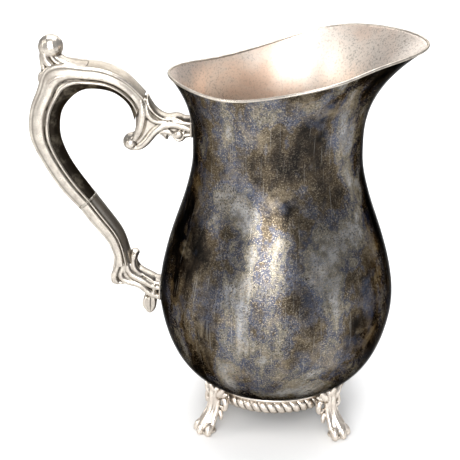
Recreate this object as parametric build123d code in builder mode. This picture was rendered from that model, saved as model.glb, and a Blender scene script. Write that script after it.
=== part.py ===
"""Footed silver-plated water pitcher: a raised body, a gadrooned base ring, four cast feet and a cast
scroll handle, all soldered together.

Frame: +Z up, +X towards the pouring lip, the handle on the -X side. The origin is on the table under the
middle of the pitcher's overall length and width. Millimetres.
"""

import os
from math import cos, hypot, radians, sin

from build123d import *

os.makedirs("parts", exist_ok=True)

# ---------------------------------------------------------------- driving dimensions
BODY_X = 30.934          # body axis, measured along X from the middle of the overall length
WALL = 1.2               # sheet thickness of the body
NECK_Z = 178.0           # height of the narrowest ring of the neck
NECK_R = 50.6            # outer radius there
FLARE_POWER = 2.55       # how late and how sharply the neck opens towards the mouth
TRIM_TOP = 246.0         # the flare is drawn up to here and then trimmed to the mouth's outline
FLARE_STEPS = 8          # sections up the flare
BELLY_STEPS = 24         # points up the belly when its profile is set in by the wall
NECK_STEP = 0.15         # the spun belly's faces lie this far inside the raised flare's, at the seam

# belly and neck, outside surface: (radius, height) from the centre of the base up to the neck
BELLY = [(0, 23.5), (20, 23.6), (33, 24.2), (41, 25.6), (48.5, 28.7), (55, 34), (60.6, 41), (65.9, 51.5),
         (70.2, 66), (72, 80), (70.7, 95), (67.3, 110), (62.7, 125), (57.5, 140), (53.2, 155), (50.9, 168)]

# mouth outline: (angle from the lip, radius, height); the other half mirrors it
MOUTH = [(0, 85.8, 239.6), (20, 79.0, 239.3), (40, 71.3, 237.6), (60, 69.0, 233.3), (90, 58.4, 224.4),
         (120, 54.8, 218.6), (140, 55.7, 217.9), (160, 60.6, 219.1), (180, 64.8, 220.0)]
MOUTH_RUNOUTS = [(-150, 230.0), (150, 233.0)]    # the outline runs on past the metal
CUTTER_TOP = 300.0       # well above the flare
CUTTER_HALF_WIDTH = 120.0    # well outside the flare
WIRE_CLEARANCE = 0.1     # film of solder between the body's edge and the wire
WIRE_SEAM = 0.04         # the wire is two bent halves, butted at the lip and at the handle
WIRE_STEPS = 12          # points round half of the mouth that the wire follows
RIM_WIRE_R = 0.9         # radius of the stiffening wire along the mouth's edge

# gadrooned base ring
RING_LOW_Z = 16.0
RING_LOW_R = 42.0
RING_HIGH_Z = 24.0
RING_HIGH_R = 45.0
RING_DEPTH = 5.0         # radial thickness of the ring
RING_BULGE = 2.0         # how far the lobes stand out between the two edges

# cast feet
FOOT_ANGLES = {"foot_front_left": 225, "foot_front_right": 315,
               "foot_back_left": 135, "foot_back_right": 45}
# (height, radius of the section's middle, radial depth, width), from the leaf down to the flat pad
FOOT_SECTIONS = [(34, 50.5, 7, 13), (27, 49.5, 7, 14), (20, 50, 6.5, 9.5), (12, 52.5, 7, 9), (6, 57, 13, 14),
                 (0, 57.5, 9, 12)]
FOOT_CORNER = 2.0        # corner radius of the foot's sections
SCROLL_R = 3.2           # side scrolls at the foot's shoulder
SCROLL_WIDTH = 17.0
SCROLL_AT = (49.5, 17.5)  # radius and height of their centre

# handle: stations across the casting, each (outer point, inner point, width); points are (x from the
# body axis, height)
LOOP = [((-78.6, 206.6), (-85.6, 190.0), 12.0),
        ((-82.6, 210.9), (-87.6, 197.6), 13.5),
        ((-89.1, 217.0), (-91.8, 203.3), 15.5),
        ((-97.6, 221.8), (-97.2, 207.1), 17.0),
        ((-106.9, 224.3), (-103.5, 208.9), 17.5),
        ((-116.5, 225.0), (-110.0, 209.3), 17.5),
        ((-126.5, 226.0), (-115.6, 208.3), 17.0),
        ((-137.0, 222.6), (-120.8, 205.3), 16.5),
        ((-140.9, 212.6), (-125.2, 200.9), 16.5),
        ((-145.4, 201.5), (-128.7, 195.3), 17.0),
        ((-147.6, 191.5), (-130.3, 188.0), 17.0),
        ((-147.7, 181.5), (-130.4, 180.3), 16.5),
        ((-144.8, 171.9), (-128.6, 172.8), 15.5),
        ((-139.2, 160.5), (-124.3, 163.0), 14.5),
        ((-130.4, 146.0), (-117.3, 152.0), 13.5),
        ((-120.6, 134.9), (-110.8, 142.8), 13.0)]
JOINT_BAND = [((-120.58, 134.87), (-110.78, 142.77), 13.0),     # solder between the two castings
              ((-119.62, 133.73), (-109.82, 141.53), 13.0)]
LOWER_ARM = [((-119.6, 133.7), (-109.8, 141.5), 13.0),
             ((-112.6, 123.6), (-102.8, 131.6), 12.5),
             ((-105.4, 114.7), (-96.1, 121.7), 12.5),
             ((-101.9, 108.2), (-92.4, 113.4), 12.5),
             ((-100.2, 101.7), (-90.2, 105.1), 13.0),
             ((-101.2, 95.0), (-87.5, 97.6), 13.5)]
SECTION_SHOULDER = 0.62  # share of the section's depth that the straight side faces take
SECTION_KEEL = 0.55      # width of the rounded inner face near its deepest, over the full width
SECTION_KEEL_DEPTH = 0.8     # how far in, over half of the depth, that width is reached

THUMB_BALL_AT = (-133.4, 234.5)
THUMB_BALL_R = 7.2
THUMB_NECK = [((-139.6, 222.5), (-126.0, 224.6), 13.0),
              ((-139.9, 227.5), (-129.2, 229.4), 9.5),
              ((-140.2, 232.0), (-128.9, 233.2), 9.0)]

# bracket outlines, seen from the side: (x from the body axis, height)
UPPER_SCROLL_TOP = [(-78.6, 206.6), (-76.9, 205.9), (-75.6, 201.5), (-71.6, 195.5), (-65.2, 192.7),
                    (-59.0, 194.4), (-55.0, 193.4)]
UPPER_SCROLL_CURL = [(-55.0, 180.9), (-56.6, 178.4), (-59.4, 178.5), (-62.6, 181.4), (-70.5, 182.4),
                     (-77.0, 176.9), (-83.5, 171.5), (-87.6, 170.8), (-91.4, 172.8), (-92.8, 177.0),
                     (-91.2, 181.3), (-86.4, 183.2), (-85.6, 190.0)]
UPPER_SCROLL_WIDTH = 13.0
UPPER_DROP = [(-70.2, 182.4), (-68.2, 180.2), (-66.4, 178.4), (-64.8, 180.2), (-63.4, 182.0)]
UPPER_DROP_WIDTH = 6.0
UPPER_SOCKET_SIZE = (13.0, 14.5)     # height and width of the pad on the neck
UPPER_SOCKET_Z = 187.0
UPPER_SOCKET_X = -55.0               # where the bracket stops against the pad

LOWER_SCROLL_TOP = [(-87.5, 97.6), (-89.6, 100.0), (-90.8, 103.6), (-88.6, 105.6), (-86.2, 105.9),
                    (-84.5, 104.0), (-84.9, 101.2), (-86.1, 98.4), (-86.0, 94.6), (-83.4, 91.0),
                    (-79.6, 89.0), (-75.6, 86.4)]
LOWER_SCROLL_UNDER = [(-75.6, 73.2), (-80.4, 73.6), (-82.0, 77.2), (-86.0, 80.3), (-92.5, 82.2),
                      (-99.3, 81.3), (-103.6, 85.6), (-103.4, 89.4), (-101.2, 95.0)]
LOWER_SCROLL_WIDTH = 13.5
LOWER_DROP = [(-80.4, 73.6), (-83.2, 68.0), (-79.2, 61.9), (-75.6, 66.0), (-75.6, 73.2)]
LOWER_DROP_WIDTH = 9.0
LOWER_SOCKET_SIZE = (14.0, 15.0)
LOWER_SOCKET_Z = 79.5
LOWER_SOCKET_X = -75.6

PAD_CORNER = 3.0         # corner radius of both pads
PAD_REACH = 12.0         # depth of their blocks before the body is cut from them
BRACKET_EDGE = 0.8       # bevel along the upper bracket's side edges

BODY_AXIS = Plane.XY.move(Location((BODY_X, 0, 0)))
SIDE = Plane.XZ.move(Location((BODY_X, 0, 0)))
TURN_AXIS = Axis((BODY_X, 0, 0), (0, 0, 1))


# ---------------------------------------------------------------- shared geometry
def flare_radius(mouth_r, mouth_z, height):
    """Outside radius of the flare at a height, along the ray that meets the mouth at (mouth_r, mouth_z)."""
    rise = (height - NECK_Z) / (mouth_z - NECK_Z)
    return NECK_R + (mouth_r - NECK_R) * max(rise, 0) ** FLARE_POWER


def flare_slope(mouth_r, mouth_z, height):
    """How fast that radius grows with height."""
    rise = (height - NECK_Z) / (mouth_z - NECK_Z)
    return (mouth_r - NECK_R) * FLARE_POWER * max(rise, 0) ** (FLARE_POWER - 1) / (mouth_z - NECK_Z)


def flare_section(height, inset):
    """Points of one horizontal section of the flare, set in from the outside by a thickness."""
    half = []
    for angle, mouth_r, mouth_z in MOUTH:
        thickness = inset * hypot(1, flare_slope(mouth_r, mouth_z, height))
        radius = flare_radius(mouth_r, mouth_z, height) - thickness
        half.append((radius * cos(radians(angle)), radius * sin(radians(angle))))
    return half + [(x, -y) for x, y in reversed(half[1:-1])]


def belly_points(inset):
    """Points up the belly's profile, set in at right angles to the outside by a thickness."""
    outer = Spline(*BELLY, (NECK_R, NECK_Z), tangents=[(1, 0), (0, 1)], mode=Mode.PRIVATE)
    points = []
    for step in range(BELLY_STEPS + 1):
        place = outer @ (step / BELLY_STEPS)
        along = outer % (step / BELLY_STEPS)
        points.append((place.X - inset * along.Y, place.Y + inset * along.X))
    return points


def flare(inset):
    """The solid inside the flare's surface, set in by a thickness; its top runs up past the mouth."""
    with BuildPart() as solid:
        for step in range(FLARE_STEPS + 1):
            height = NECK_Z + step * (TRIM_TOP - NECK_Z) / FLARE_STEPS
            with BuildSketch(BODY_AXIS.offset(height)):
                with BuildLine():
                    Spline(*flare_section(height, inset), periodic=True)
                make_face()
        loft()
    return solid.part


def mouth_cutter():
    """Everything above the mouth's outline, which is a single curve seen from the side."""
    outline = [MOUTH_RUNOUTS[0], *[(r * cos(radians(angle)), z) for angle, r, z in reversed(MOUTH)],
               MOUTH_RUNOUTS[1]]
    with BuildPart() as cutter:
        with BuildSketch(SIDE):
            with BuildLine():
                edge = Spline(*outline)
                Polyline(edge @ 1, (MOUTH_RUNOUTS[1][0], CUTTER_TOP), (MOUTH_RUNOUTS[0][0], CUTTER_TOP),
                         edge @ 0)
            make_face()
        extrude(amount=CUTTER_HALF_WIDTH, both=True)
    return cutter.part


def station_plane(outer, inner):
    """Plane of a section across the handle: its X runs from the inner to the outer point, its Y along -Y."""
    middle_x = BODY_X + (outer[0] + inner[0]) / 2
    middle_z = (outer[1] + inner[1]) / 2
    across = (outer[0] - inner[0], 0, outer[1] - inner[1])
    return Plane(origin=(middle_x, 0, middle_z), x_dir=across, z_dir=(across[2], 0, -across[0]))


def casting(stations):
    """Solid through sections across the handle: flat outer face, straight sides, rounded inner face."""
    with BuildPart() as solid:
        for outer, inner, width in stations:
            half_depth = hypot(outer[0] - inner[0], outer[1] - inner[1]) / 2
            half_width = width / 2
            shoulder = half_depth - 2 * half_depth * SECTION_SHOULDER
            keel = half_width * SECTION_KEEL
            keel_at = -half_depth * SECTION_KEEL_DEPTH
            with BuildSketch(station_plane(outer, inner)):
                with BuildLine():
                    Polyline((shoulder, half_width), (half_depth, half_width), (half_depth, -half_width),
                             (shoulder, -half_width))
                    Spline((shoulder, -half_width), (keel_at, -keel), (-half_depth, 0), (keel_at, keel),
                           (shoulder, half_width))
                make_face()
        loft()
    return solid.part


def side_plate(outline, width, bevel):
    """A scroll cut to its side outline, across the middle plane, with bevelled edges."""
    with BuildPart() as solid:
        with BuildSketch(SIDE):
            with BuildLine():
                Polyline(*outline, close=True)
            make_face()
        extrude(amount=width / 2, both=True)
        if bevel:
            rims = solid.faces().filter_by(Axis.Y).edges()
            chamfer(rims, bevel)
    return solid.part


def handle_pad(centre_z, plate_x, size):
    """Block from the bracket's end into the body, before the body is cut from it."""
    height, width = size
    with BuildPart() as solid:
        with BuildSketch(Plane.YZ.offset(BODY_X + plate_x)):
            with Locations((0, centre_z)):
                RectangleRounded(width, height, PAD_CORNER)
        extrude(amount=PAD_REACH)
    return solid.part


def finish(part, name):
    """Label a piece and write it out."""
    part.label = name
    export_step(part, f"parts/{name}.step")


# ---------------------------------------------------------------- rim wire
wire_seats = [(r - WALL / 2, a, z + RIM_WIRE_R + WIRE_CLEARANCE) for a, r, z in MOUTH]
seat_points = [(BODY_X + r * cos(radians(a)), r * sin(radians(a)), z) for r, a, z in wire_seats]
seat_mirror = [(x, -y, z) for x, y, z in reversed(seat_points[1:-1])]
mouth_loop = Spline(*seat_points, *seat_mirror, periodic=True, mode=Mode.PRIVATE)
half_loop = [mouth_loop @ (step / WIRE_STEPS / 2) for step in range(WIRE_STEPS + 1)]
half_path = Spline(*half_loop, tangents=[(0, 1, 0), (0, -1, 0)], mode=Mode.PRIVATE)
seam_share = WIRE_SEAM / half_path.length
wire_path = half_path.trim(seam_share, 1 - seam_share)
wire_half = sweep(Plane(origin=wire_path @ 0, z_dir=wire_path % 0) * Circle(RIM_WIRE_R), path=wire_path)
rim_wire = Compound(children=[wire_half.solid(), mirror(wire_half, about=Plane.XZ).solid()])
finish(rim_wire, "rim_wire")

# ---------------------------------------------------------------- body
with BuildPart() as belly_solid:
    with BuildSketch(SIDE):
        with BuildLine():
            profile = Spline(*belly_points(0), tangents=[(1, 0), (0, 1)])
            Polyline(profile @ 1, (0, NECK_Z), profile @ 0)
        make_face()
    revolve(axis=TURN_AXIS)
belly_outside = belly_solid.part
flare_outside = flare(0)

with BuildPart() as body_shell:
    add(flare_outside)
    add(flare(WALL), mode=Mode.SUBTRACT)
    add(mouth_cutter(), mode=Mode.SUBTRACT)
    with BuildSketch(SIDE):
        with BuildLine():
            skin_out = Spline(*belly_points(NECK_STEP), tangents=[(1, 0), (0, 1)])
            skin_in = Spline(*belly_points(WALL - NECK_STEP), tangents=[(1, 0), (0, 1)])
            Line(skin_out @ 0, skin_in @ 0)
            Line(skin_out @ 1, skin_in @ 1)
        make_face()
    revolve(axis=TURN_AXIS)
finish(body_shell.part, "body_shell")

# ---------------------------------------------------------------- base ring
with BuildPart() as base_rim:
    with BuildSketch(SIDE):
        with BuildLine():
            ThreePointArc((RING_LOW_R, RING_LOW_Z),
                          ((RING_LOW_R + RING_HIGH_R) / 2 + RING_BULGE, (RING_LOW_Z + RING_HIGH_Z) / 2),
                          (RING_HIGH_R, RING_HIGH_Z))
            Polyline((RING_HIGH_R, RING_HIGH_Z), (RING_HIGH_R, RING_HIGH_Z + RING_DEPTH),
                     (RING_LOW_R - RING_DEPTH, RING_HIGH_Z + RING_DEPTH), (RING_LOW_R - RING_DEPTH, RING_LOW_Z),
                     (RING_LOW_R, RING_LOW_Z))
        make_face()
    revolve(axis=TURN_AXIS)
    add(belly_outside, mode=Mode.SUBTRACT)
finish(base_rim.part, "base_rim")

# ---------------------------------------------------------------- feet
for name, angle in FOOT_ANGLES.items():
    outward = Vector(cos(radians(angle)), sin(radians(angle)), 0)
    sideways = Vector(-outward.Y, outward.X, 0)
    centre = Vector(BODY_X, 0, 0)
    with BuildPart() as foot:
        for height, radius, depth, width in FOOT_SECTIONS:
            middle = centre + outward * radius + Vector(0, 0, height)
            with BuildSketch(Plane(origin=middle, x_dir=outward, z_dir=(0, 0, 1))):
                RectangleRounded(depth, width, FOOT_CORNER)
        loft()
        scroll_middle = centre + outward * SCROLL_AT[0] + Vector(0, 0, SCROLL_AT[1])
        with BuildSketch(Plane(origin=scroll_middle, x_dir=outward, z_dir=sideways)):
            Circle(SCROLL_R)
        extrude(amount=SCROLL_WIDTH / 2, both=True)
        add(belly_outside, mode=Mode.SUBTRACT)
        add(base_rim.part, mode=Mode.SUBTRACT)
    finish(foot.part, name)

# ---------------------------------------------------------------- handle castings
handle_loop = casting(LOOP)
finish(handle_loop, "handle_loop")
handle_lower_arm = casting(LOWER_ARM)
finish(handle_lower_arm, "handle_lower_arm")
finish(casting(JOINT_BAND), "handle_joint_band")

with BuildPart() as thumb_scroll:
    add(casting(THUMB_NECK))
    with Locations((BODY_X + THUMB_BALL_AT[0], 0, THUMB_BALL_AT[1])):
        Sphere(THUMB_BALL_R)
    add(handle_loop, mode=Mode.SUBTRACT)
finish(thumb_scroll.part, "thumb_scroll")

# ---------------------------------------------------------------- brackets, drops and sockets
upper_plate = side_plate(UPPER_SCROLL_TOP + UPPER_SCROLL_CURL, UPPER_SCROLL_WIDTH, BRACKET_EDGE)
upper_scroll = upper_plate - handle_loop
finish(upper_scroll, "upper_bracket_scroll")
upper_drop = side_plate(UPPER_DROP, UPPER_DROP_WIDTH, 0) - upper_scroll
finish(upper_drop, "upper_bracket_drop")
upper_socket = handle_pad(UPPER_SOCKET_Z, UPPER_SOCKET_X, UPPER_SOCKET_SIZE) - flare_outside
finish(upper_socket, "upper_handle_socket")

lower_plate = side_plate(LOWER_SCROLL_TOP + LOWER_SCROLL_UNDER, LOWER_SCROLL_WIDTH, 0)
lower_scroll = lower_plate - handle_lower_arm
finish(lower_scroll, "lower_bracket_scroll")
lower_drop = side_plate(LOWER_DROP, LOWER_DROP_WIDTH, 0) - lower_plate
finish(lower_drop, "lower_leaf_drop")
lower_socket = handle_pad(LOWER_SOCKET_Z, LOWER_SOCKET_X, LOWER_SOCKET_SIZE) - belly_outside
finish(lower_socket, "lower_handle_socket")
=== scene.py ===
import math

import bpy
import numpy as np
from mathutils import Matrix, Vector


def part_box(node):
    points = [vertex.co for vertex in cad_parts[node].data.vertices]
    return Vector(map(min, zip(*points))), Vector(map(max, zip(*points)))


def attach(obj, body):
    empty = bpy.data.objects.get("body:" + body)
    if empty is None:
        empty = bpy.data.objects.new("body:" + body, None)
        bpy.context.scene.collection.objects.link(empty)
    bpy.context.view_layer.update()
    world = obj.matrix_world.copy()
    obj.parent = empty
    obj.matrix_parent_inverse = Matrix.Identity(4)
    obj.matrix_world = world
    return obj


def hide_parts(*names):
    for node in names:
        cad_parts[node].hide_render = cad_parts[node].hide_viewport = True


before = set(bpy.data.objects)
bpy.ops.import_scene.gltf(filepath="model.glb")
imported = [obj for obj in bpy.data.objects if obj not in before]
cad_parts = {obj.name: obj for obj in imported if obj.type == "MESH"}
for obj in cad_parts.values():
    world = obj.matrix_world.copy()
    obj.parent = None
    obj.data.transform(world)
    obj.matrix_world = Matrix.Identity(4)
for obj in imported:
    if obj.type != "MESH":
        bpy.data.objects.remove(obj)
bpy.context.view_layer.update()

MM = 0.001
ring_low, ring_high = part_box("base_rim")
AXIS_X = (ring_low.x + ring_high.x) / 2 / MM      # body axis, millimetres along X

# ------------------------------------------------------------------ shape of the body (millimetres)
WALL = 1.2
NECK_Z, NECK_R, FLARE_POWER = 178.0, 50.6, 2.55
BELLY = [(0, 23.5), (20, 23.6), (33, 24.2), (41, 25.6), (48.5, 28.7), (55, 34), (60.6, 41), (65.9, 51.5),
         (70.2, 66), (72, 80), (70.7, 95), (67.3, 110), (62.7, 125), (57.5, 140), (53.2, 155), (50.9, 168),
         (NECK_R, NECK_Z)]
MOUTH = [(0, 85.8, 239.6), (20, 79.0, 239.3), (40, 71.3, 237.6), (60, 69.0, 233.3), (90, 58.4, 224.4),
         (120, 54.8, 218.6), (140, 55.7, 217.9), (160, 60.6, 219.1), (180, 64.8, 220.0)]
BELLY_R = 72.0
BODY_COLUMNS, BELLY_ROWS, FLARE_ROWS = 240, 84, 56

# ------------------------------------------------------------------ shape of the handle (millimetres)
# stations across the castings: outer x, z, inner x, z and width
LOOP = [(-78.6, 206.6, -85.6, 190.0, 12.0), (-82.6, 210.9, -87.6, 197.6, 13.5),
        (-89.1, 217.0, -91.8, 203.3, 15.5), (-97.6, 221.8, -97.2, 207.1, 17.0),
        (-106.9, 224.3, -103.5, 208.9, 17.5), (-116.5, 225.0, -110.0, 209.3, 17.5),
        (-126.5, 226.0, -115.6, 208.3, 17.0), (-137.0, 222.6, -120.8, 205.3, 16.5),
        (-140.9, 212.6, -125.2, 200.9, 16.5), (-145.4, 201.5, -128.7, 195.3, 17.0),
        (-147.6, 191.5, -130.3, 188.0, 17.0), (-147.7, 181.5, -130.4, 180.3, 16.5),
        (-144.8, 171.9, -128.6, 172.8, 15.5), (-139.2, 160.5, -124.3, 163.0, 14.5),
        (-130.4, 146.0, -117.3, 152.0, 13.5), (-120.6, 134.9, -110.8, 142.8, 13.0)]
LOWER_ARM = [(-119.6, 133.7, -109.8, 141.5, 13.0), (-112.6, 123.6, -102.8, 131.6, 12.5),
             (-105.4, 114.7, -96.1, 121.7, 12.5), (-101.9, 108.2, -92.4, 113.4, 12.5),
             (-100.2, 101.7, -90.2, 105.1, 13.0), (-101.2, 95.0, -87.5, 97.6, 13.5)]
# half of the castings' section, from the middle of the outer face to the middle of the inner face:
# (depth share from -1 inner to 1 outer, width share, darkness: tarnish in the grooves and painted shade over
# the inner face)
SECTION = [(0.945, 0.0, 0.1), (0.945, 0.30, 0.12), (0.955, 0.55, 0.15), (0.99, 0.72, 0.0), (1.0, 0.82, 0.0),
           (0.94, 0.93, 0.0), (0.82, 0.97, 0.15), (0.73, 0.93, 0.7), (0.62, 0.92, 0.25), (0.42, 0.96, 0.0),
           (0.20, 0.98, 0.0), (0.05, 0.94, 0.2), (-0.03, 0.86, 0.9), (-0.09, 0.86, 0.5), (-0.17, 0.96, 0.0),
           # from the point at -0.39 on, round the inner face, the darkness of 1.0 is painted shade
           (-0.27, 1.0, 0.0), (-0.34, 0.95, 0.0), (-0.375, 0.88, 0.0), (-0.39, 0.84, 1.0), (-0.46, 0.77, 1.0),
           (-0.62, 0.66, 1.0), (-0.80, 0.48, 1.0), (-0.95, 0.24, 1.0), (-1.0, 0.0, 1.0)]


# ------------------------------------------------------------------ curves
def cubic_spline(knots, values, end_slopes=None):
    """A function of position: the cubic spline through the values, natural or with given end slopes."""
    knots = np.asarray(knots, float)
    values = np.asarray(values, float).reshape(len(knots), -1)
    gaps = np.diff(knots)
    slopes = np.diff(values, axis=0) / gaps[:, None]
    count = len(knots)
    matrix = np.zeros((count, count))
    right = np.zeros((count, values.shape[1]))
    for i in range(1, count - 1):
        matrix[i, i - 1:i + 2] = gaps[i - 1], 2 * (gaps[i - 1] + gaps[i]), gaps[i]
        right[i] = 6 * (slopes[i] - slopes[i - 1])
    if end_slopes is None:
        matrix[0, 0] = matrix[-1, -1] = 1
    else:
        matrix[0, :2] = 2 * gaps[0], gaps[0]
        matrix[-1, -2:] = gaps[-1], 2 * gaps[-1]
        right[0] = 6 * (slopes[0] - end_slopes[0])
        right[-1] = 6 * (end_slopes[1] - slopes[-1])
    bends = np.linalg.solve(matrix, right)

    def at(where):
        where = np.clip(np.atleast_1d(np.asarray(where, float)), knots[0], knots[-1])
        i = np.clip(np.searchsorted(knots, where) - 1, 0, count - 2)
        gap = gaps[i][:, None]
        before = (knots[i + 1] - where)[:, None]
        after = (where - knots[i])[:, None]
        return (bends[i] * before ** 3 / (6 * gap) + bends[i + 1] * after ** 3 / (6 * gap)
                + (values[i] / gap - bends[i] * gap / 6) * before
                + (values[i + 1] / gap - bends[i + 1] * gap / 6) * after)

    return at


def smooth_line(points, count, end_slopes=None):
    """Evenly spaced points along a smooth line through the given ones."""
    points = np.asarray(points, float)
    travel = np.concatenate([[0], np.cumsum(np.linalg.norm(np.diff(points, axis=0), axis=1))])
    line = cubic_spline(travel, points, end_slopes)
    return line(np.linspace(0, travel[-1], count))


# ------------------------------------------------------------------ meshes
def add_piece(name, points, faces, materials, nodes, face_materials=None, tarnish_and_shade=None):
    """A smooth-shaded mesh in metres from points in millimetres, riding on the body of the pitcher."""
    mesh = bpy.data.meshes.new(name)
    mesh.from_pydata([tuple(p) for p in np.asarray(points, float) * MM], [], faces)
    for material in materials:
        mesh.materials.append(material)
    if face_materials is not None:
        mesh.polygons.foreach_set("material_index", np.asarray(face_materials, np.int32))
    mesh.polygons.foreach_set("use_smooth", np.ones(len(mesh.polygons), bool))
    # per-point darkness for the cast silver: tarnish in grooves, and painted shade where a caller marks it
    attribute = mesh.attributes.new("tarnish_and_shade", "FLOAT", "POINT")
    if tarnish_and_shade is not None:
        attribute.data.foreach_set("value", np.asarray(tarnish_and_shade, np.float32))
    mesh.update()
    piece = bpy.data.objects.new(name, mesh)
    bpy.context.scene.collection.objects.link(piece)
    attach(piece, "root")
    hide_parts(*nodes)


def ring_faces(rings, columns, closed=False):
    """Quads between rings of points, where the last ring can join the first."""
    faces = []
    for ring in range(rings if closed else rings - 1):
        low, high = ring * columns, (ring + 1) % rings * columns
        for column in range(columns):
            across = (column + 1) % columns
            faces.append((low + column, low + across, high + across, high + column))
    return faces


def cap(first, columns, centre, upwards):
    """A fan from a ring of points to a centre point."""
    fan = [(first + c, first + (c + 1) % columns, centre) for c in range(columns)]
    return fan if upwards else [face[::-1] for face in fan]


# ------------------------------------------------------------------ body
mouth_at = cubic_spline([m[0] for m in MOUTH], [m[1:] for m in MOUTH], np.zeros((2, 2)))


def body_columns():
    """For every column round the body: its angle, and the mouth's radius and height there."""
    angles = np.arange(BODY_COLUMNS) / BODY_COLUMNS * 2 * math.pi
    folded = np.degrees(np.abs((angles + math.pi) % (2 * math.pi) - math.pi))
    mouth = mouth_at(folded)
    return angles, mouth[:, 0], mouth[:, 1]


def body_profile(mouth_r, mouth_z):
    """Outside (radius, height) up one column, and the inside at right angles to it."""
    belly = smooth_line(BELLY, BELLY_ROWS, np.array([[1, 0], [0, 1]], float))
    share = np.linspace(0, 1, FLARE_ROWS + 1)[1:]
    flare = np.stack([NECK_R + (mouth_r - NECK_R) * share ** FLARE_POWER,
                      NECK_Z + (mouth_z - NECK_Z) * share], axis=1)
    outside = np.concatenate([belly, flare])
    along = np.gradient(outside, axis=0)
    along /= np.linalg.norm(along, axis=1)[:, None]
    inside = outside + WALL * np.stack([-along[:, 1], along[:, 0]], axis=1)
    inside[0, 0] = 0
    return outside, inside


def build_body(outer_material, inner_material):
    """The sheet-metal vessel, outside and inside, closed over the edge of the mouth."""
    angles, mouth_r, mouth_z = body_columns()
    columns = [body_profile(r, z) for r, z in zip(mouth_r, mouth_z)]
    rows = len(columns[0][0])
    order = [(0, row) for row in range(1, rows)] + [(1, row) for row in range(rows - 1, 0, -1)]
    points = []
    for side, row in order:
        for angle, column in zip(angles, columns):
            r, z = column[side][row]
            points.append((AXIS_X + r * math.cos(angle), r * math.sin(angle), z))
    faces = ring_faces(len(order), BODY_COLUMNS)
    outer_faces = (rows - 2) * BODY_COLUMNS
    materials = [0] * outer_faces + [1] * (len(faces) - outer_faces)
    points.append((AXIS_X, 0, BELLY[0][1]))
    points.append((AXIS_X, 0, BELLY[0][1] + WALL))
    faces += cap(0, BODY_COLUMNS, len(points) - 2, False)
    faces += cap((len(order) - 1) * BODY_COLUMNS, BODY_COLUMNS, len(points) - 1, True)
    materials += [0] * BODY_COLUMNS + [1] * BODY_COLUMNS
    add_piece("body_sheet", points, faces, [outer_material, inner_material],
              ["body_shell"], face_materials=materials)


WIRE_RADIUS, WIRE_SIDES = 0.85, 16


def build_rim(material):
    """The round wire along the edge of the mouth, laid over the sheet's edge."""
    angles, mouth_r, mouth_z = body_columns()
    middle = []
    for angle, r, z in zip(angles, mouth_r, mouth_z):
        outside, inside = body_profile(r, z)
        centre = (outside[-1] + inside[-1]) / 2
        middle.append((AXIS_X + centre[0] * math.cos(angle), centre[0] * math.sin(angle), centre[1]))
    middle = np.array(middle)
    ahead = np.roll(middle, -1, axis=0) - np.roll(middle, 1, axis=0)
    ahead /= np.linalg.norm(ahead, axis=1)[:, None]
    outward = np.stack([np.cos(angles), np.sin(angles), np.zeros_like(angles)], axis=1)
    outward -= ahead * np.sum(outward * ahead, axis=1)[:, None]
    outward /= np.linalg.norm(outward, axis=1)[:, None]
    upward = np.cross(outward, ahead)
    points = []
    for centre, out, up in zip(middle, outward, upward):
        for side in range(WIRE_SIDES):
            turn = 2 * math.pi * side / WIRE_SIDES
            points.append(centre + WIRE_RADIUS * (math.cos(turn) * out + math.sin(turn) * up))
    faces = ring_faces(len(middle), WIRE_SIDES, closed=True)
    add_piece("mouth_wire", points, [face[::-1] for face in faces], [material],
              ["rim_wire"])


# ------------------------------------------------------------------ gadrooned base ring
LOBES = 56
LOBE_SLANT = 0.9                       # lobes turned over between the lower and the upper edge
LOBE_COLUMNS = 12                      # columns of points across one lobe
LOBE_HEIGHT, LOBE_SINK = 1.5, 0.9      # height of a lobe's crest, and how far the grooves go below the moulding
RING_STEPS = 90                        # points along the profile
RING_PROFILE = [(37.6, 25.0), (37.2, 18.5), (38.6, 16.4), (40.4, 15.9), (42.4, 16.6), (44.0, 18.0),
                (44.9, 19.8), (45.1, 21.6), (44.6, 23.2), (43.7, 24.2), (43.9, 24.9), (44.9, 25.2),
                (45.5, 25.9), (45.3, 26.8), (44.6, 27.4)]
LOBE_START, LOBE_END = 3.0, 9.3        # stretch of the profile, by point number, that carries lobes


def build_ring(material):
    """Gadroon ring: a rounded moulding cut into slanting lobes, with a plain bead above them."""
    columns = LOBES * LOBE_COLUMNS
    along = np.linspace(0, len(RING_PROFILE) - 1, RING_STEPS)
    line = cubic_spline(range(len(RING_PROFILE)), RING_PROFILE)(along)
    normal = np.gradient(line, axis=0)
    normal = np.stack([normal[:, 1], -normal[:, 0]], axis=1)
    normal /= np.linalg.norm(normal, axis=1)[:, None]
    points, tarnish_and_shade = [], []
    for (r, z), (nr, nz), u in zip(line, normal, along):
        share = (u - LOBE_START) / (LOBE_END - LOBE_START)
        strength = math.sin(math.pi * share) ** 0.5 if 0 < share < 1 else 0.0
        for column in range(columns):
            phase = (column / LOBE_COLUMNS + LOBE_SLANT * share) % 1 * 2 - 1
            crest = math.sqrt(max(0, 1 - phase ** 2))
            lift = strength * (LOBE_HEIGHT * crest - LOBE_SINK)
            angle = 2 * math.pi * column / columns
            radius = r + lift * nr
            points.append((AXIS_X + radius * math.cos(angle), radius * math.sin(angle), z + lift * nz))
            tarnish_and_shade.append(strength * (1 - crest) ** 1.5)
    add_piece("gadroon_ring", points, ring_faces(RING_STEPS, columns, closed=True), [material],
              ["base_rim"], tarnish_and_shade=tarnish_and_shade)


# ------------------------------------------------------------------ handle castings
station_at = cubic_spline(range(len(LOOP) + len(LOWER_ARM)), LOOP + LOWER_ARM)
LOOP_END, ARM_START = len(LOOP) - 1, len(LOOP)
ARM_END = ARM_START + len(LOWER_ARM) - 1
JOINT_START, JOINT_END = 14.97, 16.03  # the solder runs a little over the ends of both castings
HALF_SECTION_POINTS = 90


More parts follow.
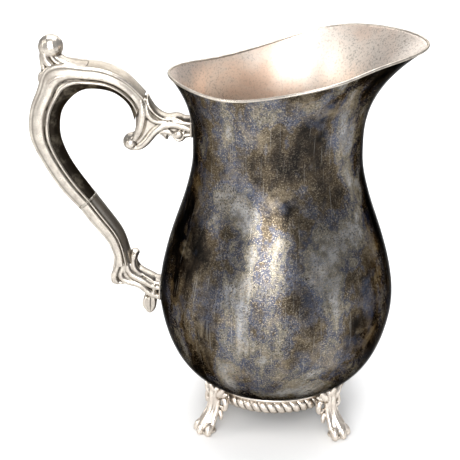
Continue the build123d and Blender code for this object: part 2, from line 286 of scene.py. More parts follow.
def casting(name, start, end, rings, material, nodes, swell=0.0, tarnish_and_shade_share=1.0):
    """A length of the handle between two stations, with the moulded section and closed ends."""
    outline = [station[:2] for station in SECTION]
    half = smooth_line(outline, HALF_SECTION_POINTS)
    along = np.concatenate([[0], np.cumsum(np.hypot(*np.diff(outline, axis=0).T))])
    # darkness round the section: tarnish in its grooves and painted shade over the inner face
    shade = np.interp(np.linspace(0, along[-1], HALF_SECTION_POINTS), along,
                      [station[2] for station in SECTION])
    section = np.concatenate([half, half[-2:0:-1] * (1, -1)])
    shade = np.concatenate([shade, shade[-2:0:-1]])
    points, tarnish_and_shade = [], []
    for where in np.linspace(start, end, rings):
        outer_x, outer_z, inner_x, inner_z, width = station_at(where)[0]
        middle = np.array([(outer_x + inner_x) / 2, (outer_z + inner_z) / 2])
        reach = np.array([outer_x - inner_x, outer_z - inner_z]) / 2
        reach *= 1 + 2 * swell / np.linalg.norm(reach)
        for (depth, side), dark in zip(section, shade):
            x, z = middle + depth * reach
            points.append((AXIS_X + x, side * (width / 2 + swell), z))
            tarnish_and_shade.append(dark)
    columns = len(section)
    faces = ring_faces(rings, columns)
    for ring, upwards in ((0, False), (rings - 1, True)):
        low = ring * columns
        points.append(np.mean(points[low:low + columns], axis=0))
        tarnish_and_shade.append(0)
        faces += cap(low, columns, len(points) - 1, upwards)
    # the darkness, groove tarnish and painted shade alike, is scaled for each casting
    add_piece(name, points, faces, [material], nodes, tarnish_and_shade=np.clip(tarnish_and_shade, 0, 1) * tarnish_and_shade_share)


# ------------------------------------------------------------------ modelled ornament
STROKE_SIDES, STROKE_RINGS = 20, 8     # points round a stroke, and rings for every point of its line
CAP_SHARES = (1.0, 0.92, 0.7, 0.38)    # rings of a stroke's rounded end, as shares of its radius
CAP_TIP = 0.02                         # the last ring's size, so that the end isn't a bare point
PLATE_STEPS = 6                        # points of a plate's edge for every point of its outline
PLATE_LEVELS = [(-1.0, 1.0), (-0.8, 0.4), (-0.45, 0.1), (0.0, 0.0), (0.45, 0.1), (0.8, 0.4), (1.0, 1.0)]


def stroke(points, radii, widths, side=(0, 1, 0)):
    """A tapering, rounded stroke of metal along a line: radius across it, and half width along side."""
    count = STROKE_RINGS * len(points)
    table = np.column_stack([np.asarray(points, float), radii, widths])
    line = smooth_line(table, count)
    centre, radius, width = line[:, :3], line[:, 3], line[:, 4]
    ahead = np.gradient(centre, axis=0)
    ahead /= np.linalg.norm(ahead, axis=1)[:, None]
    stations = [(0, -1, share) for share in CAP_SHARES]
    stations += [(i, 0, 0) for i in range(count)]
    stations += [(count - 1, 1, share) for share in reversed(CAP_SHARES)]
    made = []
    for i, end, share in stations:
        across = np.asarray(side, float) - ahead[i] * np.dot(side, ahead[i])
        across /= np.linalg.norm(across)
        other = np.cross(ahead[i], across)
        middle = centre[i] + ahead[i] * end * share * radius[i]
        scale = max(math.sqrt(1 - share ** 2), CAP_TIP)
        for k in range(STROKE_SIDES):
            turn = 2 * math.pi * k / STROKE_SIDES
            made.append(middle + scale * (width[i] * math.cos(turn) * across
                                          + radius[i] * math.sin(turn) * other))
    faces = ring_faces(len(stations), STROKE_SIDES)
    faces += [tuple(range(STROKE_SIDES))[::-1], tuple(range(len(made) - STROKE_SIDES, len(made)))]
    return np.array(made), faces


def plate(outline, half_width, edge):
    """A flat core in the handle's middle plane with rounded edges: outline is (x from the axis, height)."""
    line = smooth_line(list(outline) + [outline[0]], PLATE_STEPS * len(outline) + 1)[:-1]
    ahead = np.roll(line, -1, axis=0) - np.roll(line, 1, axis=0)
    ahead /= np.linalg.norm(ahead, axis=1)[:, None]
    inward = np.stack([-ahead[:, 1], ahead[:, 0]], axis=1)
    area = np.sum(line[:, 0] * np.roll(line[:, 1], -1) - np.roll(line[:, 0], -1) * line[:, 1])
    inward *= math.copysign(1, area)
    points = []
    for side, inset in PLATE_LEVELS:
        for (x, z), (ix, iz) in zip(line, inward):
            points.append((AXIS_X + x + ix * inset * edge, side * half_width, z + iz * inset * edge))
    count = len(line)
    faces = ring_faces(len(PLATE_LEVELS), count)
    faces += [tuple(range(count))[::-1], tuple(range(len(points) - count, len(points)))]
    return np.array(points), faces


def ornament(name, strokes, material, nodes, place=None, voxel=0.36, floor=None):
    """Strokes run together into one cast surface: joined, remeshed finely and softened."""
    points, faces = [], []
    for ring_points, ring_face in strokes:
        faces += [tuple(v + len(points) for v in face) for face in ring_face]
        points += list(ring_points)
    points = np.array(points) if place is None else place(np.array(points))
    raw = bpy.data.meshes.new(name + "_raw")
    raw.from_pydata([tuple(p) for p in points], [], faces)
    rough = bpy.data.objects.new(name + "_raw", raw)
    bpy.context.scene.collection.objects.link(rough)
    remesh = rough.modifiers.new("join", "REMESH")
    remesh.mode = "VOXEL"
    remesh.voxel_size = voxel
    soften = rough.modifiers.new("soften", "SMOOTH")
    soften.factor = 0.5
    soften.iterations = 3
    bpy.context.view_layer.update()
    done = rough.evaluated_get(bpy.context.evaluated_depsgraph_get()).to_mesh()
    co = np.zeros(len(done.vertices) * 3, np.float32)
    done.vertices.foreach_get("co", co)
    final_points = co.reshape(-1, 3).astype(float)
    final_faces = [tuple(p.vertices) for p in done.polygons]
    bpy.data.objects.remove(rough)
    if floor is not None:
        final_points[:, 2] = np.maximum(final_points[:, 2], floor)
    add_piece(name, final_points, final_faces, [material], nodes)


def flat_line(*points):
    """Points of the handle's middle plane: (x from the body axis, height) to X, Y, Z."""
    return [(AXIS_X + x, 0, z) for x, z in points]


def both_sides(points, radii, widths, side=(0, 1, 0)):
    """A stroke and its mirror image across the middle plane."""
    mirrored = [(x, -y, z) for x, y, z in points]
    return [stroke(points, radii, widths, side), stroke(mirrored, radii, widths, side)]


def at_side(y, *points):
    """Points beside the middle plane: (x from the body axis, height) to X, Y, Z."""
    return [(AXIS_X + x, y, z) for x, z in points]


def build_thumb(material):
    """Ball-ended scroll on top of the loop, with leaf lines running down into it."""
    core = [(-139.6, 218), (-140.3, 226), (-140.0, 231), (-136, 234), (-130.6, 233), (-128.4, 229.6),
            (-124.6, 226.4), (-118, 224.2), (-113, 222), (-120, 217), (-132, 214)]
    strokes = [
        plate(core, 4.6, 1.4),
        stroke(flat_line((-133.7, 234.4), (-133.3, 234.5)), (7.3, 7.3), (7.0, 7.0)),
        stroke(flat_line((-137.0, 234), (-137.8, 229), (-137.6, 223), (-136.6, 217.5)),
               (2.8, 2.6, 2.4, 1.8), (5.8, 5.2, 5.4, 6.0)),
        stroke(flat_line((-131.0, 230.8), (-128.0, 227.6), (-122, 225), (-113, 224.0)),
               (2.0, 1.8, 1.5, 1.2), (4.0, 5.0, 6.2, 7.2))]
    strokes += both_sides(at_side(4.8, (-136.6, 231), (-135.6, 227), (-131.4, 223.0), (-125, 220.4),
                                  (-117, 219.4)),
                          (1.9, 2.2, 2.2, 1.7, 1.1), (1.5, 1.8, 2.6, 3.1, 3.1))
    strokes += both_sides(at_side(4.4, (-132.6, 229.6), (-129.6, 226.2), (-124.8, 223.8), (-118, 222.4)),
                          (1.1, 1.2, 1.1, 0.8), (1.2, 1.6, 2.4, 3.0))
    strokes += both_sides(at_side(5.6, (-139.4, 215.6), (-138.6, 219), (-135, 221)),
                          (1.7, 1.8, 1.2), (1.8, 2.0, 1.6))
    strokes += both_sides(at_side(7.4, (-134.8, 214.4), (-130.5, 217.6), (-124, 218.6)),
                          (0.9, 1.2, 0.8), (0.9, 1.2, 0.9))
    ornament("thumb_rest", strokes, material, ["thumb_scroll"])


UPPER_CORE = [(-79.4, 205.2), (-77.6, 204.6), (-76.2, 201), (-72, 195.2), (-65.6, 192.2), (-59.4, 193.6),
              (-55, 192.6), (-54, 187), (-55, 181.8), (-56.8, 179.4), (-59.4, 179.5), (-62.8, 182.4),
              (-70.8, 183.4), (-77.4, 178), (-83.6, 172.6), (-87.4, 171.8), (-90.6, 173.6), (-91.8, 177.2),
              (-90.4, 180.6), (-86, 182.6), (-84.8, 190), (-82.6, 198)]
LOWER_CORE = [(-88.6, 98.2), (-90.2, 101), (-89.8, 103.8), (-87.8, 105), (-85.8, 104.6), (-85.4, 101.6),
              (-86.6, 98), (-86.4, 94.4), (-83.6, 90.2), (-79.8, 88.2), (-75.2, 85.6), (-74.4, 80),
              (-75.2, 74.2), (-80, 74.6), (-82, 78), (-86.2, 81.2), (-92.6, 83), (-98.8, 82.2),
              (-102.4, 85.8), (-102.4, 89.4), (-100.4, 95), (-96, 99)]


def build_upper_bracket(material):
    """S-scroll from the loop's end to the neck, with a volute, a leaf and a curl against the pad."""
    strokes = [
        plate(UPPER_CORE, 4.9, 1.3),
        stroke(flat_line((-87.6, 176.8), (-87.2, 177.0)), (5.2, 5.2), (6.3, 6.3)),
        stroke(flat_line((-77.2, 205.4), (-76.4, 201.8), (-73.8, 197.4), (-70.4, 194.4), (-65.5, 192.6),
                         (-60, 193.2), (-56, 191.6)),
               (0.9, 1.6, 1.7, 1.6, 1.5, 1.5, 1.4), (3.0, 5.0, 5.8, 6.0, 6.0, 6.0, 6.0)),
        stroke(flat_line((-61.6, 182.8), (-60.4, 180.6), (-58, 180.0), (-56, 182), (-55.6, 185.6)),
               (1.6, 1.8, 2.0, 2.0, 1.6), (6.0, 6.2, 6.3, 6.3, 6.0))]
    strokes += both_sides(at_side(5.4, (-87.9, 176.7), (-87.5, 176.9)), (3.1, 3.1), (1.9, 1.9))
    strokes += both_sides(at_side(5.2, (-58.8, 183.4), (-58.4, 183.4)), (2.7, 2.7), (1.8, 1.8))
    strokes += both_sides(at_side(4.4, (-80.8, 203.6), (-80.0, 197), (-80.8, 190), (-82.8, 183.6),
                                  (-84.8, 179.6)),
                          (1.6, 2.6, 2.8, 2.6, 1.6), (1.5, 2.2, 2.3, 2.0, 1.4))
    strokes += both_sides(at_side(4.4, (-88.4, 174.4), (-84.2, 174.4), (-78.2, 178.4), (-73.6, 184.2),
                                  (-68.8, 187.8), (-63, 189.4), (-56, 188.0), (-51.6, 186.4)),
                          (1.4, 1.9, 2.4, 2.6, 2.6, 2.4, 2.2, 2.0),
                          (1.4, 1.9, 2.2, 2.3, 2.2, 2.0, 1.9, 1.8))
    strokes += both_sides(at_side(4.6, (-77.4, 200.6), (-76.4, 195.4), (-72.4, 191.4), (-66.4, 190.8)),
                          (1.1, 1.9, 1.7, 1.1), (1.3, 1.8, 1.7, 1.2))
    strokes += both_sides(at_side(4.8, (-71.4, 184.8), (-67.2, 185.0), (-63.4, 184.4), (-61.6, 182.2)),
                          (0.9, 1.5, 1.5, 1.0), (0.9, 1.4, 1.4, 1.1))
    strokes += [
        stroke(flat_line((-62, 191.4), (-56.4, 191.0), (-51.4, 190.4)), (2.2, 2.4, 2.4), (6.2, 6.4, 6.6)),
        stroke(flat_line((-58, 182.6), (-54.4, 183.0), (-51.2, 183.6)), (2.6, 2.6, 2.4), (6.0, 6.2, 6.4))]
    ornament("upper_scroll", strokes, material, ["upper_bracket_scroll"])


def build_upper_drop(material):
    """Small pointed drop under the S-scroll."""
    strokes = [
        stroke(flat_line((-66.8, 183.4), (-66.7, 181), (-66.5, 179.2)), (2.6, 2.1, 1.0), (3.4, 2.8, 1.2)),
        stroke(flat_line((-70.8, 183.0), (-68.8, 182), (-67.4, 180.8)), (1.1, 1.1, 0.8), (3.0, 2.8, 1.8)),
        stroke(flat_line((-63.2, 182.8), (-64.6, 182), (-65.8, 180.8)), (1.0, 1.0, 0.8), (3.0, 2.8, 1.8))]
    ornament("upper_drop", strokes, material, ["upper_bracket_drop"], voxel=0.25)


def build_lower_bracket(material):
    """Leaf scroll from the lower arm's heel to the belly."""
    strokes = [
        plate(LOWER_CORE, 5.0, 1.6),
        stroke(flat_line((-94.4, 97.4), (-94.8, 93)), (6.0, 5.0), (5.9, 5.7)),
        stroke(flat_line((-101, 84.6), (-97.4, 84.2), (-93, 84.8)), (2.2, 2.2, 1.8), (5.6, 5.8, 5.6)),
        stroke(flat_line((-88.2, 103.6), (-86.6, 103.4)), (2.1, 1.9), (4.2, 3.8)),
        stroke(flat_line((-84.6, 91.8), (-80.4, 89), (-76, 86.6)), (1.4, 1.5, 1.4), (5.0, 5.6, 6.0)),
        stroke(flat_line((-76, 76), (-75.4, 84)), (2.2, 2.2), (6.3, 6.6))]
    strokes += both_sides(at_side(4.4, (-97.6, 97), (-99.6, 91.6), (-100.4, 87.2), (-98.6, 84.4)),
                          (1.8, 2.2, 2.2, 1.6), (2.1, 2.2, 2.1, 1.7))
    strokes += both_sides(at_side(4.3, (-95.6, 93.4), (-96.2, 88.4), (-91.6, 85.0), (-86, 83.4),
                                  (-81.2, 80.2), (-76.6, 76.6), (-72.4, 75.4)),
                          (1.4, 2.0, 2.2, 2.2, 2.3, 2.3, 2.0), (1.5, 2.0, 2.2, 2.2, 2.3, 2.3, 2.0))
    strokes += both_sides(at_side(4.3, (-92.2, 97.6), (-91.2, 92.4), (-87.6, 88.8), (-82, 85.9), (-77, 82.8),
                                  (-72, 81.4)),
                          (1.4, 2.1, 2.4, 2.4, 2.2, 2.0), (1.4, 2.0, 2.3, 2.4, 2.3, 2.1))
    strokes += both_sides(at_side(3.6, (-88.4, 102.4), (-88.4, 97.6), (-87.0, 93.4), (-83.4, 90.2)),
                          (1.4, 1.7, 1.8, 1.4), (1.4, 1.7, 2.0, 1.6))
    strokes.append(stroke(flat_line((-80, 87.4), (-75.6, 85.4), (-72, 84.6)),
                          (2.2, 2.4, 2.2), (5.4, 6.0, 6.4)))
    ornament("lower_scroll", strokes, material, ["lower_bracket_scroll"])


def build_lower_drop(material):
    """Leaf hanging under the lower bracket, folded along its middle."""
    leaf = [(-81.6, 74.6), (-83.8, 69.4), (-82.4, 64.6), (-79.3, 62.0), (-76.0, 64.4), (-74.8, 69),
            (-75, 74.6)]
    strokes = [plate(leaf, 3.8, 1.6)]
    strokes += both_sides(at_side(3.2, (-76.6, 74), (-76.2, 69.4), (-77.8, 65)),
                          (1.2, 1.4, 0.9), (0.9, 1.0, 0.8))
    strokes += both_sides(at_side(3.2, (-81.2, 73.4), (-82.3, 69.2), (-80.6, 65)),
                          (1.1, 1.4, 0.9), (0.8, 0.9, 0.8))
    strokes += both_sides(at_side(3.4, (-79, 73.6), (-79.2, 68), (-79.2, 64.4)),
                          (0.8, 0.8, 0.6), (0.9, 0.9, 0.7))
    ornament("lower_leaf", strokes, material, ["lower_leaf_drop"], voxel=0.28)


def build_pads(material):
    """The two rounded pads that carry the brackets on the body."""
    upper = [stroke(flat_line((-51.2, 182.6), (-51.2, 191.4)), (1.6, 1.6), (7.1, 7.1))]
    ornament("neck_pad", upper, material, ["upper_handle_socket"])
    lower = [stroke(flat_line((-72.2, 74.4), (-71.8, 84.8)), (1.7, 1.7), (7.3, 7.3))]
    ornament("belly_pad", lower, material, ["lower_handle_socket"])


# ------------------------------------------------------------------ feet
FOOT_ANGLES = {"foot_front_left": 225, "foot_front_right": 315,
               "foot_back_left": 135, "foot_back_right": 45}


def foot_strokes():
    """One foot in its own frame: X outwards from the body axis, Y sideways, Z up."""
    strokes = [
        stroke([(49.8, 0, 29), (50.2, 0, 23), (50.8, 0, 16.5), (53, 0, 11.5), (56, 0, 7.2), (58.2, 0, 5)],
               (3.2, 3.2, 3.2, 3.6, 4.2, 3.8), (5.6, 5.0, 4.2, 4.4, 5.4, 5.8)),
        stroke([(52.6, 0, 30), (53.0, 0, 24), (53.8, 0, 17.6), (56.4, 0, 12), (60.2, 0, 8)],
               (1.3, 1.4, 1.5, 1.6, 1.6), (1.6, 1.6, 1.6, 1.8, 2.0)),
        stroke([(54.6, 0, 2.2), (60, 0, 2.2)], (2.2, 2.2), (5.6, 6.0)),
        stroke([(57.2, 0, 5.6), (61.4, 0, 4.6), (62.6, 0, 3.0)], (3.2, 3.0, 2.4), (2.5, 2.4, 2.0)),
        stroke([(49.6, 0, 25), (51.8, 0, 29), (53.6, 0, 32.4)], (2.0, 2.2, 1.3), (4.0, 3.2, 1.4))]
    for flip in (1, -1):
        strokes += [
            stroke([(56, 3.4 * flip, 6.2), (59.8, 5.0 * flip, 4.6), (60.8, 5.4 * flip, 2.9)],
                   (2.9, 2.8, 2.2), (2.2, 2.2, 1.9)),
            stroke([(49.8, 2.4 * flip, 22.5), (50.6, 5.2 * flip, 27), (50.2, 7.6 * flip, 30.8)],
                   (1.9, 2.4, 1.5), (2.0, 2.4, 1.5)),
            stroke([(49.4, 4.0 * flip, 25), (49.6, 7.0 * flip, 26.2), (49.0, 9.2 * flip, 27.6)],
                   (1.6, 1.8, 1.2), (1.6, 1.8, 1.2)),
            stroke([(50.6, 3.4 * flip, 22), (51.8, 3.6 * flip, 16), (54.2, 4.2 * flip, 11.2),
                    (56.6, 5.2 * flip, 7.4)], (1.5, 1.6, 1.7, 1.6), (1.4, 1.4, 1.5, 1.5)),
            stroke([(49.0, 3.4 * flip, 25), (48.6, 6.8 * flip, 23.4), (48.8, 8.6 * flip, 19.8),
                    (49.2, 7.6 * flip, 16.6), (49.4, 5.8 * flip, 17.4)], (1.7, 1.8, 1.7, 1.5, 1.4),
                   (1.7, 1.9, 1.8, 1.5, 1.4), (1, 0, 0)),
            stroke([(50.2, 3.4 * flip, 15), (50.4, 5.6 * flip, 13), (51.0, 6.4 * flip, 10.4)],
                   (1.6, 1.6, 1.1), (1.6, 1.6, 1.1), (1, 0, 0))]
    return strokes


def build_feet(material):
    """The same cast foot four times, turned about the body's axis and flat on the table."""
    strokes = foot_strokes()
    for foot, degrees in FOOT_ANGLES.items():
        turn = math.radians(degrees)
        spin = np.array([[math.cos(turn), math.sin(turn), 0],
                         [-math.sin(turn), math.cos(turn), 0],
                         [0, 0, 1]])

        def place(points, spin=spin):
            return points @ spin + np.array([AXIS_X, 0, 0])

        ornament("cast_" + foot, strokes, material, [foot], place, floor=0.0)


# ------------------------------------------------------------------ materials
def new_material(name):
    """A metal material, its node tree and its shader."""
    material = bpy.data.materials.new(name)
    material.use_nodes = True
    tree = material.node_tree
    shader = tree.nodes["Principled BSDF"]
    shader.inputs["Metallic"].default_value = 1.0
    return material, tree, shader


def node(tree, kind, inputs=None, **settings):
    """A shader node with its settings and its inputs: a socket is linked, a number is written on."""
    made = tree.nodes.new(kind)
    for key, value in settings.items():
        setattr(made, key, value)
    for key, value in (inputs or {}).items():
        if isinstance(value, bpy.types.NodeSocket):
            tree.links.new(value, made.inputs[key])
        else:
            made.inputs[key].default_value = value
    return made


def noise(tree, vector, scale, detail=4.0, rough=0.55, distortion=0.0):
    """Cloudy noise fixed to the object."""
    return node(tree, "ShaderNodeTexNoise", {"Vector": vector, "Scale": scale, "Detail": detail,
                                             "Roughness": rough, "Distortion": distortion}).outputs["Fac"]


def spread(tree, value, low, high, to_low=0.0, to_high=1.0):
    """The value's range low to high stretched to another range, and held at its ends."""
    return node(tree, "ShaderNodeMapRange", {"Value": value, "From Min": low, "From Max": high,
                                             "To Min": to_low, "To Max": to_high}).outputs["Result"]


def mixed(tree, factor, a, b):
    """Colour a turning into colour b as the factor goes from 0 to 1."""
    mix = node(tree, "ShaderNodeMix", data_type="RGBA")
    for socket, value in ((mix.inputs[0], factor), (mix.inputs[6], a), (mix.inputs[7], b)):
        if isinstance(value, bpy.types.NodeSocket):
            tree.links.new(value, socket)
        else:
            socket.default_value = value
    return mix.outputs[2]


def maths(tree, a, b, operation="MULTIPLY"):
    """The product of two values, or the result of another operation on them."""
    return node(tree, "ShaderNodeMath", {0: a, 1: b}, operation=operation).outputs[0]


def object_place(tree):
    """Coordinates in metres in the row frame."""
    return node(tree, "ShaderNodeTexCoord").outputs["Object"]


def parts_of(tree, place):
    """The X, Y and Z of a place."""
    parts = node(tree, "ShaderNodeSeparateXYZ", {0: place}).outputs
    return parts[0], parts[1], parts[2]


def stretched(tree, place, scale):
    """The place with its three directions stretched by the scale."""
    return node(tree, "ShaderNodeMapping", {"Vector": place, "Scale": scale}).outputs["Vector"]


def scratches(tree, wrapped, seed):
    """Thin, faint, straight scratches in a few directions, over a surface laid out flat in X and Z."""
    total = None
    for turn in range(4):
        mapping = node(tree, "ShaderNodeMapping",
                       {"Vector": wrapped, "Rotation": (0.0, seed + turn * 0.8, 0.0),
                        "Scale": (1000.0, 1.0, 26.0)})
        lines = noise(tree, mapping.outputs["Vector"], 1.0, 1.0, 0.4)
        thin = spread(tree, lines, 0.70, 0.76)
        total = thin if total is None else maths(tree, total, thin, "MAXIMUM")
    return total


# tarnish from the blackest to the most worn: share of the way and colour
TARNISH = [(0.0, (0.012, 0.011, 0.010)), (0.22, (0.030, 0.024, 0.019)), (0.40, (0.075, 0.058, 0.038)),
           (0.54, (0.060, 0.066, 0.090)), (0.68, (0.16, 0.145, 0.115)), (0.84, (0.27, 0.265, 0.26)),
           (1.0, (0.42, 0.41, 0.39))]
BLUE_CLOUD, BEIGE_CLOUD = (0.13, 0.17, 0.27, 1), (0.30, 0.245, 0.17, 1)
DARK_SPECK, PALE_SPECK = (0.022, 0.016, 0.011, 1), (0.46, 0.39, 0.29, 1)
SCRATCH = (0.5, 0.48, 0.44, 1)
ROSY_SATIN, PALE_SATIN = (0.82, 0.66, 0.55, 1), (0.92, 0.84, 0.76, 1)
DULL_SATIN, SATIN_SPECK = (0.36, 0.32, 0.28, 1), (0.16, 0.145, 0.125, 1)
DUST, BLACK_GROOVE, BROWN_GROOVE = (0.16, 0.14, 0.11, 1), (0.030, 0.024, 0.018, 1), (0.14, 0.12, 0.09, 1)
PALE_SOLDER, DARK_SOLDER = (0.45, 0.42, 0.37, 1), (0.16, 0.14, 0.11, 1)


def speckle(tree, place, scale, low, high, most):
    """Fine specks, where the noise goes past low, up to a strength of most."""
    return spread(tree, noise(tree, place, scale, 3.0, 0.7), low, high, 0.0, most)


def tarnished_outside():
    """Old silver plate: cloudy brown, blue and black tarnish, speckle and fine scratches, alike all round."""
    material, tree, shader = new_material("tarnished silver outside")
    place = object_place(tree)
    x, y, z = parts_of(tree, place)
    broad = noise(tree, stretched(tree, place, (1, 1, 0.4)), 24.0, 4.0, 0.6, 0.5)
    patchy = noise(tree, place, 85.0, 5.0, 0.68)
    tone = maths(tree, spread(tree, broad, 0.34, 0.68), spread(tree, patchy, 0.3, 0.7, -0.22, 0.22), "ADD")
    ramp = node(tree, "ShaderNodeValToRGB", {0: tone})
    stops = ramp.color_ramp.elements
    stops[0].position, stops[1].position = 0.0, 1.0
    stops[0].color, stops[1].color = (*TARNISH[0][1], 1), (*TARNISH[-1][1], 1)
    for share, colour in TARNISH[1:-1]:
        stops.new(share).color = (*colour, 1)
    colour = ramp.outputs["Color"]
    blue = spread(tree, noise(tree, place, 40.0, 4.0, 0.6), 0.52, 0.66, 0.0, 0.5)
    colour = mixed(tree, blue, colour, mixed(tree, 0.5, colour, BLUE_CLOUD))
    beige = spread(tree, noise(tree, place, 58.0, 4.0, 0.6, 0.5), 0.54, 0.68, 0.0, 0.45)
    colour = mixed(tree, beige, colour, BEIGE_CLOUD)

    # dark specks in the palest small patches, pale specks in the palest broad clouds
    dark = maths(tree, speckle(tree, place, 850.0, 0.50, 0.61, 0.85), spread(tree, patchy, 0.40, 0.60))
    colour = mixed(tree, dark, colour, DARK_SPECK)
    pale = maths(tree, speckle(tree, place, 1250.0, 0.53, 0.63, 0.7), spread(tree, broad, 0.36, 0.56))
    colour = mixed(tree, pale, colour, PALE_SPECK)

    angle = node(tree, "ShaderNodeMath", {0: maths(tree, x, AXIS_X * MM, "SUBTRACT"), 1: y},
                 operation="ARCTAN2").outputs[0]
    wrapped = node(tree, "ShaderNodeCombineXYZ", {0: maths(tree, angle, BELLY_R * MM), 2: z}).outputs[0]
    marks = scratches(tree, wrapped, 0.25)
    colour = mixed(tree, maths(tree, marks, 0.22), colour, SCRATCH)
    tree.links.new(colour, shader.inputs["Base Color"])
    shader.inputs["Specular Tint"].default_value = (0.05, 0.05, 0.05, 1)
    tree.links.new(spread(tree, patchy, 0.3, 0.7, 0.20, 0.36), shader.inputs["Roughness"])
    fine = noise(tree, place, 700.0, 3.0, 0.7)
    relief = maths(tree, maths(tree, fine, 0.5), maths(tree, marks, 0.6), "SUBTRACT")
    bump = node(tree, "ShaderNodeBump", {"Height": relief, "Strength": 0.12, "Distance": 0.0002})
    tree.links.new(bump.outputs["Normal"], shader.inputs["Normal"])
    return material


def satin_inside():
    """The inside: satin silver with a warm bloom, duller and more speckled towards the lip and the handle."""
    material, tree, shader = new_material("satin silver inside")
    place = object_place(tree)
    x = parts_of(tree, place)[0]
    clouds = noise(tree, place, 30.0, 4.0, 0.6, 0.4)
    fine = noise(tree, place, 800.0, 3.0, 0.7)
    base = mixed(tree, spread(tree, clouds, 0.4, 0.62), ROSY_SATIN, PALE_SATIN)
    off_middle = maths(tree, maths(tree, x, AXIS_X * MM, "SUBTRACT"), 1.0, "ABSOLUTE")
    ragged = maths(tree, off_middle, spread(tree, clouds, 0.3, 0.7, -0.02, 0.02), "ADD")
    ends = spread(tree, ragged, 0.022, 0.075)
    base = mixed(tree, maths(tree, ends, 0.7), base, DULL_SATIN)
    specks = maths(tree, spread(tree, fine, 0.52, 0.62, 0.0, 0.75), spread(tree, ends, 0.0, 1.0, 0.25, 1.0))
    specked = mixed(tree, specks, base, SATIN_SPECK)
    tree.links.new(specked, shader.inputs["Base Color"])
    tree.links.new(spread(tree, clouds, 0.3, 0.7, 0.40, 0.50), shader.inputs["Roughness"])
    bump = node(tree, "ShaderNodeBump", {"Height": fine, "Strength": 0.1, "Distance": 0.0002})
    tree.links.new(bump.outputs["Normal"], shader.inputs["Normal"])
    return material


def cast_silver(name, clean, dulled):
    """Bright cast silver in two tones, with tarnish left in the grooves and painted shade on the inner faces
    that the mesh marks.
    """
    material, tree, shader = new_material(name)
    place = object_place(tree)
    hollow = node(tree, "ShaderNodeNewGeometry").outputs["Pointiness"]
    # the mesh's per-point darkness: tarnish in grooves and painted shade over the handle's inner face
    told = node(tree, "ShaderNodeAttribute", attribute_name="tarnish_and_shade").outputs["Fac"]
    patches = noise(tree, place, 160.0, 5.0, 0.65)
    fine = noise(tree, place, 1100.0, 3.0, 0.65)
    ragged = maths(tree, hollow, spread(tree, patches, 0.3, 0.7, -0.012, 0.012), "ADD")
    deep = spread(tree, ragged, 0.495, 0.462)
    dark = maths(tree, deep, told, "MAXIMUM")
    base = mixed(tree, spread(tree, patches, 0.4, 0.66), clean, dulled)
    dust = maths(tree, spread(tree, fine, 0.56, 0.66), 0.3)
    base = mixed(tree, dust, base, DUST)
    # near black and brown, for the groove tarnish and for the painted shade
    tarnish_and_shade_tone = mixed(tree, spread(tree, patches, 0.5, 0.68), BLACK_GROOVE, BROWN_GROOVE)
    with_tarnish_and_shade = mixed(tree, dark, base, tarnish_and_shade_tone)
    shader.inputs["Specular Tint"].default_value = (0.35, 0.33, 0.30, 1)
    tree.links.new(with_tarnish_and_shade, shader.inputs["Base Color"])
    rough = maths(tree, spread(tree, patches, 0.3, 0.7, 0.24, 0.36), maths(tree, dark, 0.15), "ADD")
    tree.links.new(rough, shader.inputs["Roughness"])
    bump = node(tree, "ShaderNodeBump", {"Height": fine, "Strength": 0.1, "Distance": 0.0002})
    tree.links.new(bump.outputs["Normal"], shader.inputs["Normal"])
    return material


def solder_metal():
    """Dull grey solder with small pits."""
    material, tree, shader = new_material("grey solder")
    place = object_place(tree)
    patches = noise(tree, place, 300.0, 4.0, 0.6)
    colour = mixed(tree, spread(tree, patches, 0.4, 0.6), PALE_SOLDER, DARK_SOLDER)
    tree.links.new(colour, shader.inputs["Base Color"])
    shader.inputs["Roughness"].default_value = 0.38
    bump = node(tree, "ShaderNodeBump", {"Height": patches, "Strength": 0.3, "Distance": 0.0003})
    tree.links.new(bump.outputs["Normal"], shader.inputs["Normal"])
    return material


# ------------------------------------------------------------------ floor, light and camera
MIDDLE = (AXIS_X * MM, 0.0, 0.12)      # what the lights face, in metres
FLOOR_HALF = 12.0
# the lights, in metres: name, place, size, watts and colour
LIGHTS = [("window", (-0.12, -1.2, 0.62), (0.75, 1.0), 16.0, (1, 1, 1)),
          ("front", (0.0, -0.8, 1.35), (0.6, 0.5), 5.0, (1, 1, 1)),
          ("top", (0.1, 0.5, 1.7), (1.6, 1.2), 24.0, (1, 1, 1)),
          ("back", (0.0, 1.45, 0.85), (1.8, 0.8), 12.0, (1, 1, 1)),
          ("left", (-1.3, -0.35, 0.75), (0.5, 0.9), 6.0, (1.0, 0.96, 0.9))]


def look_at(obj, target):
    """Turn a light or the camera to face a point."""
    obj.rotation_euler = (Vector(target) - obj.location).to_track_quat("-Z", "Y").to_euler()


def soft_light(name, place, size, power, colour):
    """A rectangular light that faces the middle of the pitcher."""
    light = bpy.data.lights.new(name, "AREA")
    light.shape = "RECTANGLE"
    light.size, light.size_y = size
    light.energy = power
    light.color = colour
    lamp = bpy.data.objects.new(name, light)
    bpy.context.scene.collection.objects.link(lamp)
    lamp.location = place
    look_at(lamp, MIDDLE)


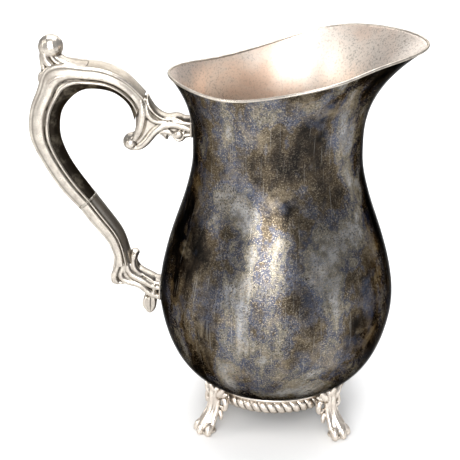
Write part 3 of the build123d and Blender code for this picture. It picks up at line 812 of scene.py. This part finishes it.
def build_studio():
    """Plain pale floor, a dim even surround and the soft lights."""
    mesh = bpy.data.meshes.new("floor")
    corners = [(x * FLOOR_HALF, y * FLOOR_HALF, 0) for x, y in ((-1, -1), (1, -1), (1, 1), (-1, 1))]
    mesh.from_pydata(corners, [], [(0, 1, 2, 3)])
    floor = bpy.data.objects.new("floor", mesh)
    bpy.context.scene.collection.objects.link(floor)
    material, tree, shader = new_material("pale floor")
    shader.inputs["Metallic"].default_value = 0.0
    shader.inputs["Base Color"].default_value = (0.86, 0.86, 0.855, 1)
    shader.inputs["Roughness"].default_value = 0.7
    mesh.materials.append(material)

    world = bpy.data.worlds.new("studio")
    world.use_nodes = True
    world.node_tree.nodes["Background"].inputs["Color"].default_value = (0.93, 0.95, 1.0, 1)
    world.node_tree.nodes["Background"].inputs["Strength"].default_value = 0.55
    bpy.context.scene.world = world
    bpy.context.scene.view_settings.view_transform = "Standard"

    for light in LIGHTS:
        soft_light(*light)


CAMERA_PLACE = (AXIS_X + 19.63, -749.74, 453.5)    # millimetres, fitted to the photo
CAMERA_TARGET = (AXIS_X - 28.48, -0.75, 120.37)
CAMERA_LENS, CAMERA_SENSOR = 104.7, 36.0


def build_camera():
    """The photo's point of view."""
    data = bpy.data.cameras.new("camera")
    data.sensor_width = CAMERA_SENSOR
    data.lens = CAMERA_LENS
    camera = bpy.data.objects.new("camera", data)
    bpy.context.scene.collection.objects.link(camera)
    camera.location = Vector(CAMERA_PLACE) * MM
    look_at(camera, Vector(CAMERA_TARGET) * MM)
    bpy.context.scene.camera = camera


# ------------------------------------------------------------------ the pitcher
outside = tarnished_outside()
inside = satin_inside()
cast = cast_silver("bright cast silver", (0.60, 0.55, 0.48, 1), (0.38, 0.34, 0.30, 1))
polished = cast_silver("polished cast silver", (0.84, 0.76, 0.67, 1), (0.62, 0.55, 0.48, 1))
solder = solder_metal()

build_body(outside, inside)
build_rim(cast)
build_ring(polished)
# the castings carry tarnish in their grooves and painted shade over their inner faces; the lower arm less of
# both
casting("handle_arch", 0, LOOP_END, 200, cast, ["handle_loop"])
casting("handle_stem", ARM_START, ARM_END, 90, cast, ["handle_lower_arm"], tarnish_and_shade_share=0.45)
casting("joint_bead", JOINT_START, JOINT_END, 10, solder, ["handle_joint_band"], swell=0.12)
build_thumb(cast)
build_upper_bracket(cast)
build_upper_drop(cast)
build_lower_bracket(cast)
build_lower_drop(cast)
build_pads(cast)
build_feet(polished)
build_studio()
build_camera()
